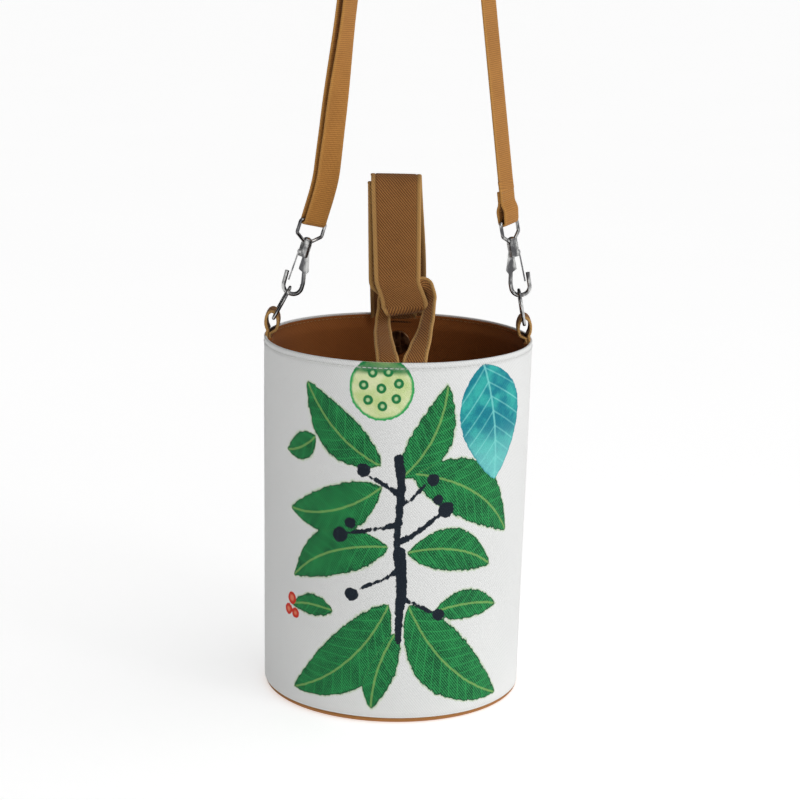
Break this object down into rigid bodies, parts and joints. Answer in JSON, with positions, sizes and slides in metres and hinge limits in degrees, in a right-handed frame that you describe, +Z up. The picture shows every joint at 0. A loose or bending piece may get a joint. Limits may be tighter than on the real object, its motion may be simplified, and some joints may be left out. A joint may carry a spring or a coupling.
{
  "type": "bucket bag with clip-on shoulder strap",
  "caption": "Small stiff bucket bag of printed canvas with a threaded fabric carry handle and a shoulder strap that clips to D-rings at the rim",
  "frame": {"origin": "middle of the base, on the surface that the bag stands on", "axes": "+Z up along the bag's axis, -Y the printed front, +X to the right seen from the front"},
  "size_m": [0.15, 0.15, 0.461],
  "materials": {
    "canvas": "white cotton twill, printed",
    "lining": "brown cotton twill",
    "base": "tan cotton twill",
    "foam": "foam sheet, hidden",
    "board": "stiff board, hidden",
    "strap": "tan cotton strap",
    "hardware": "bright nickel plate"
  },
  "bodies": {
    "bag": {"outer_canvas": "canvas", "wall_stiffener": "foam", "lining_wall": "lining", "lining_floor": "lining", "base_board": "board", "base_panel": "base", "handle_sewn_end": "strap", "tab_sewn_end": "strap", "ring_tab_left": "strap", "ring_tab_right": "strap", "snap_front": "hardware", "snap_back": "hardware", "snap_washer_front": "hardware", "snap_washer_back": "hardware"},
    "handle": {"carry_handle": "strap", "slit_tab": "strap"},
    "ring_left": {"d_ring_left": "hardware"},
    "ring_right": {"d_ring_right": "hardware"},
    "strap": {"shoulder_webbing": "strap", "hook_eye_left": "hardware", "hook_eye_right": "hardware"},
    "hook_left": {"hook_body_left": "hardware", "swivel_post_left": "hardware", "gate_rivet_left": "hardware"},
    "hook_right": {"hook_body_right": "hardware", "swivel_post_right": "hardware", "gate_rivet_right": "hardware"},
    "gate_left": {"gate_left": "hardware"},
    "gate_right": {"gate_right": "hardware"},
    "slider": {"strap_slider": "hardware", "webbing_sewn_end": "strap"}
  },
  "joints": [
    {"name": "handle_lean", "type": "hinge", "parent": "bag", "child": "handle", "pos_m": [0, 0, 0.203], "axis": [0, 1, 0], "range_deg": [-10, 10]},
    {"name": "ring_left_swing", "type": "hinge", "parent": "bag", "child": "ring_left", "pos_m": [-0.0692, 0, 0.212], "axis": [0, 1, 0], "range_deg": [0, 5]},
    {"name": "ring_right_swing", "type": "hinge", "parent": "bag", "child": "ring_right", "pos_m": [0.07, 0, 0.2114], "axis": [0, 1, 0], "range_deg": [0, 5]},
    {"name": "strap_swing", "type": "hinge", "parent": "bag", "child": "strap", "pos_m": [0, 0, 0.2204], "axis": [1, 0, 0], "range_deg": [-30, 30]},
    {"name": "swivel_left", "type": "hinge", "parent": "strap", "child": "hook_left", "pos_m": [-0.05146, 0, 0.25397], "axis": [0.2874, 0, 0.9578], "range_deg": [-20, 20]},
    {"name": "swivel_right", "type": "hinge", "parent": "strap", "child": "hook_right", "pos_m": [0.06207, 0, 0.25664], "axis": [-0.1994, 0, 0.9799], "range_deg": [-20, 20]},
    {"name": "gate_left_open", "type": "hinge", "parent": "hook_left", "child": "gate_left", "pos_m": [-0.05535, 0, 0.24866], "axis": [0, 1, 0], "range_deg": [-15, 0], "stiffness_Nm_per_rad": 0.02, "springref_deg": 11.46},
    {"name": "gate_right_open", "type": "hinge", "parent": "hook_right", "child": "gate_right", "pos_m": [0.06546, 0, 0.251], "axis": [0, 1, 0], "range_deg": [0, 15], "stiffness_Nm_per_rad": 0.02, "springref_deg": -11.46},
    {"name": "slider_slide", "type": "slide", "parent": "strap", "child": "slider", "axis": [0.1062, 0, 0.9943], "range_m": [-0.018, 0]}
  ]
}
